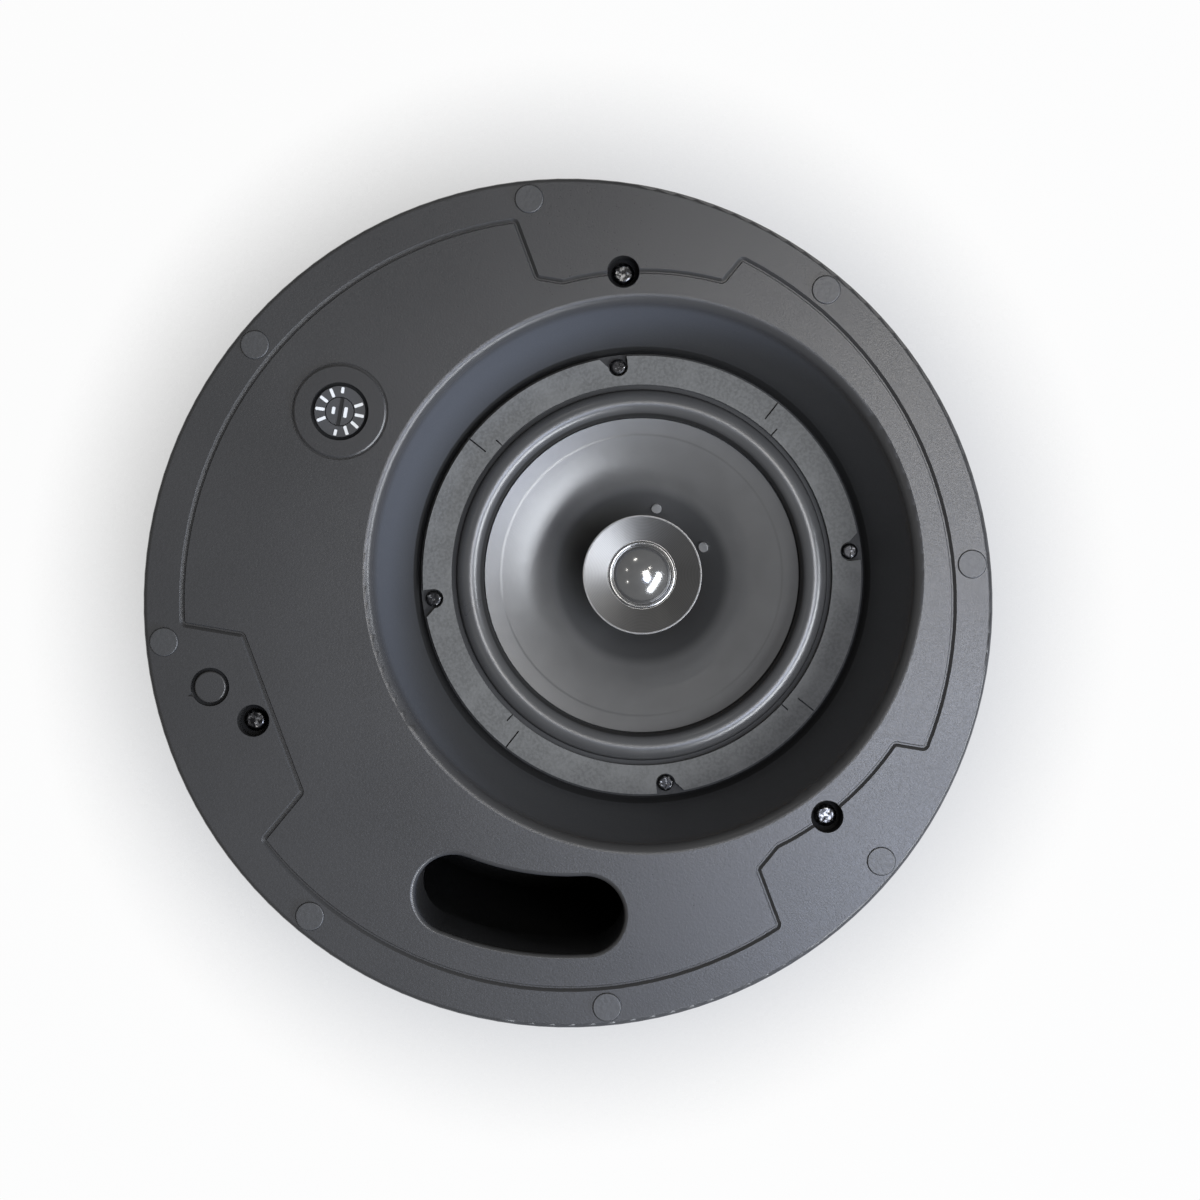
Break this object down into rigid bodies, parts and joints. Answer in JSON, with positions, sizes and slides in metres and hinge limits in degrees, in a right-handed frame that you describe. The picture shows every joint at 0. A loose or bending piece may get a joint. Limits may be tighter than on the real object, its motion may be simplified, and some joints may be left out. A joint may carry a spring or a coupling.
{
  "type": "ceiling speaker",
  "caption": "Round in-ceiling speaker: flanged baffle with an offset coaxial driver in a conical well, a port, a rotary tap selector, swing-out clamps and a deep back can.",
  "frame": {"origin": "centre of the back can's flat rear, which is the lowest point with the face up", "axes": "+Z out of the face along the flange's axis; +Y towards the first clamp, -Y towards the port"},
  "size_m": [0.305, 0.305, 0.2015],
  "materials": {
    "baffle_plastic": "fine satin grain, charcoal",
    "magnet_cover": "painted to match the baffle",
    "black_plastic": "matte black",
    "dial_plastic": "matte black with white dial marks",
    "gasket_foam": "dense grey cork-rubber",
    "basket_steel": "black powder coat",
    "black_screw": "black oxide",
    "surround_rubber": "satin black rubber",
    "cone_poly": "satin moulded cone",
    "bright_metal": "bright plated",
    "kapton": "amber film",
    "copper_wire": "enamelled copper",
    "spider_cloth": "resin-dipped cloth",
    "plated_steel": "zinc plated",
    "ferrite": "sintered ferrite",
    "spun_metal": "spun, fine concentric lines",
    "dome_metal": "glossy thin dome",
    "can_plastic": "matte moulded",
    "seal_foam": "closed-cell foam",
    "lamination": "stacked electrical steel",
    "board_green": "solder mask",
    "nylon": "natural nylon",
    "capacitor_film": "dipped film",
    "brass": "turned",
    "arm_nylon": "glass-filled nylon"
  },
  "bodies": {
    "housing": {"front_baffle": "baffle_plastic", "grille_magnets": "magnet_cover", "blanking_plug": "baffle_plastic", "selector_bezel": "baffle_plastic", "selector_label": "dial_plastic", "selector_switch": "black_plastic", "port_duct": "black_plastic", "gasket_segment_1": "gasket_foam", "gasket_segment_2": "gasket_foam", "gasket_segment_3": "gasket_foam", "gasket_segment_4": "gasket_foam", "basket": "basket_steel", "driver_screws": "black_screw", "surround": "surround_rubber", "spider": "spider_cloth", "top_plate": "plated_steel", "ferrite_magnet": "ferrite", "yoke": "plated_steel", "tweeter_post": "plated_steel", "post_nut": "plated_steel", "tweeter_cup": "basket_steel", "tweeter_magnet": "bright_metal", "tweeter_washer": "plated_steel", "tweeter_dome": "dome_metal", "tweeter_bezel": "spun_metal", "back_can": "can_plastic", "can_seal": "seal_foam", "can_screws": "black_screw", "terminal_cup": "black_plastic", "terminal_block": "black_plastic", "terminal_screws": "plated_steel", "safety_bracket": "plated_steel", "transformer_core": "lamination", "transformer_coil": "capacitor_film", "transformer_bracket": "plated_steel", "crossover_board": "board_green", "board_spacers": "nylon", "inductor": "copper_wire", "capacitors": "capacitor_film"},
    "selector": {"selector_shaft": "dial_plastic"},
    "cone_assembly": {"cone": "cone_poly", "lead_eyelets": "bright_metal", "voice_coil_former": "kapton", "voice_coil": "copper_wire"},
    "clamp_screw_1": {"clamp_screw_1": "plated_steel"},
    "clamp_bush_1": {"clamp_bush_1": "brass"},
    "clamp_arm_1": {"clamp_arm_1": "arm_nylon"},
    "clamp_screw_2": {"clamp_screw_2": "plated_steel"},
    "clamp_bush_2": {"clamp_bush_2": "brass"},
    "clamp_arm_2": {"clamp_arm_2": "arm_nylon"},
    "clamp_screw_3": {"clamp_screw_3": "plated_steel"},
    "clamp_bush_3": {"clamp_bush_3": "brass"},
    "clamp_arm_3": {"clamp_arm_3": "arm_nylon"}
  },
  "joints": [
    {"name": "selector_turn", "type": "hinge", "parent": "housing", "child": "selector", "pos_m": [-0.09211, 0.05426, 0.2006], "axis": [0, 0, 1], "range_deg": [0, 120]},
    {"name": "cone_travel", "type": "slide", "parent": "housing", "child": "cone_assembly", "axis": [0, 0, 1], "range_m": [-0.004, 0.004], "stiffness_N_per_m": 1100, "deforming": ["surround", "spider"]},
    {"name": "clamp_screw_turn_1", "type": "hinge", "parent": "housing", "child": "clamp_screw_1", "pos_m": [0, 0.1205, 0.1386], "axis": [0, 0, -1], "range_deg": [0, 8640]},
    {"name": "clamp_climb_1", "type": "slide", "parent": "housing", "child": "clamp_bush_1", "axis": [0, 0, 1], "range_m": [0, 0.048]},
    {"name": "clamp_swing_1", "type": "hinge", "parent": "clamp_bush_1", "child": "clamp_arm_1", "pos_m": [0, 0.1205, 0.1386], "axis": [0, 0, -1], "range_deg": [0, 90]},
    {"name": "clamp_screw_turn_2", "type": "hinge", "parent": "housing", "child": "clamp_screw_2", "pos_m": [-0.10436, -0.06025, 0.1386], "axis": [0, 0, -1], "range_deg": [0, 8640]},
    {"name": "clamp_climb_2", "type": "slide", "parent": "housing", "child": "clamp_bush_2", "axis": [0, 0, 1], "range_m": [0, 0.048]},
    {"name": "clamp_swing_2", "type": "hinge", "parent": "clamp_bush_2", "child": "clamp_arm_2", "pos_m": [-0.10436, -0.06025, 0.1386], "axis": [0, 0, -1], "range_deg": [0, 90]},
    {"name": "clamp_screw_turn_3", "type": "hinge", "parent": "housing", "child": "clamp_screw_3", "pos_m": [0.10436, -0.06025, 0.1386], "axis": [0, 0, -1], "range_deg": [0, 8640]},
    {"name": "clamp_climb_3", "type": "slide", "parent": "housing", "child": "clamp_bush_3", "axis": [0, 0, 1], "range_m": [0, 0.048]},
    {"name": "clamp_swing_3", "type": "hinge", "parent": "clamp_bush_3", "child": "clamp_arm_3", "pos_m": [0.10436, -0.06025, 0.1386], "axis": [0, 0, -1], "range_deg": [0, 90]}
  ],
  "couplings": [
    {"joint": "clamp_screw_turn_1", "follows": "clamp_climb_1", "rad_per_m": 3141.6},
    {"joint": "clamp_screw_turn_2", "follows": "clamp_climb_2", "rad_per_m": 3141.6},
    {"joint": "clamp_screw_turn_3", "follows": "clamp_climb_3", "rad_per_m": 3141.6}
  ]
}
